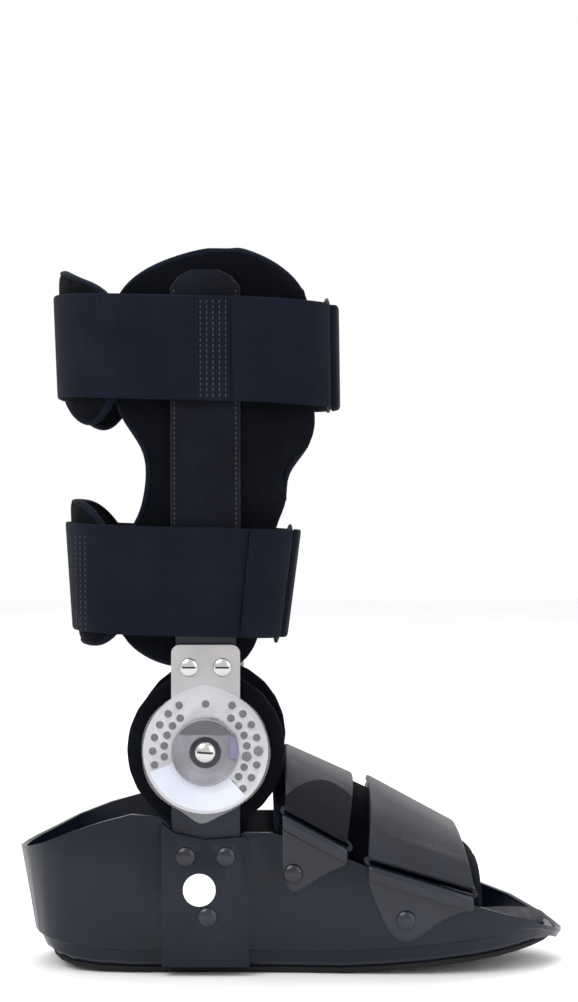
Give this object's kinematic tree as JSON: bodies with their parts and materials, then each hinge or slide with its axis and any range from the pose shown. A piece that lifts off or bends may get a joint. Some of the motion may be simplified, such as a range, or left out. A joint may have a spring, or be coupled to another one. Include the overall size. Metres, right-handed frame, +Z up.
{
  "type": "hinged walking boot",
  "caption": "Knee-low walking boot: hollow moulded sole with heel cup, hinged metal uprights with dials, padded side liners, calf straps and instep straps with rings.",
  "frame": {"origin": "on the floor under the middle of the sole's length and width", "axes": "+X to the toe, -Y the outer (lateral) side, +Z up along the shank"},
  "size_m": [0.27, 0.1199, 0.3496],
  "materials": {
    "shell": "dark navy-grey moulded shell, satin gloss",
    "rubber": "black tread rubber",
    "insole": "grey foam bed with cloth face",
    "foam": "black padded cloth over foam",
    "silver": "silver stamped metal, satin",
    "dark_steel": "black coated steel",
    "rivet": "black domed rivets",
    "clear": "clear plastic cover",
    "smoky": "smoky grey plastic",
    "strap": "black woven strap and sleeve cloth",
    "foot_strap": "dark grey brushed strap",
    "vinyl": "glossy black vinyl",
    "disc": "plain white disc"
  },
  "bodies": {
    "base": {"ankle_pad_l": "foam", "ankle_pad_m": "foam", "base_rivet_l1": "rivet", "base_rivet_l2": "rivet", "base_rivet_l3": "rivet", "base_rivet_m1": "rivet", "base_rivet_m2": "rivet", "base_rivet_m3": "rivet", "dial_cover_l": "clear", "dial_cover_m": "clear", "dial_window_l": "smoky", "dial_window_m": "smoky", "foot_strap_a": "foot_strap", "foot_strap_b": "foot_strap", "insole": "insole", "instep_pad": "foam", "lower_arm_l": "dark_steel", "lower_arm_m": "dark_steel", "outsole": "rubber", "pivot_l": "silver", "pivot_m": "silver", "ring_a_l": "dark_steel", "ring_a_m": "dark_steel", "ring_b_l": "dark_steel", "ring_b_m": "dark_steel", "size_disc": "disc", "sole_shell": "shell", "tab_a_l": "vinyl", "tab_a_m": "vinyl", "tab_b_l": "vinyl", "tab_b_m": "vinyl", "tab_rivet_a_l": "rivet", "tab_rivet_a_m": "rivet", "tab_rivet_b_l": "rivet", "tab_rivet_b_m": "rivet"},
    "shank": {"arm_screw_l1": "silver", "arm_screw_l2": "silver", "arm_screw_m1": "silver", "arm_screw_m2": "silver", "calf_pad_lower": "foam", "calf_pad_upper": "foam", "calf_ring_lower": "dark_steel", "calf_ring_upper": "dark_steel", "calf_strap_lower": "strap", "calf_strap_upper": "strap", "limit_pin_l1": "foam", "limit_pin_l2": "foam", "limit_pin_m1": "foam", "limit_pin_m2": "foam", "side_liner_l": "foam", "side_liner_m": "foam", "upper_arm_l": "silver", "upper_arm_m": "silver", "upright_bar_l": "dark_steel", "upright_bar_m": "dark_steel", "upright_sleeve_l": "strap", "upright_sleeve_m": "strap"}
  },
  "joints": [
    {"name": "ankle_hinge", "type": "hinge", "parent": "base", "child": "shank", "pos_m": [-0.041, 0, 0.108], "axis": [0, 1, 0], "range_deg": [-45, 45]}
  ]
}
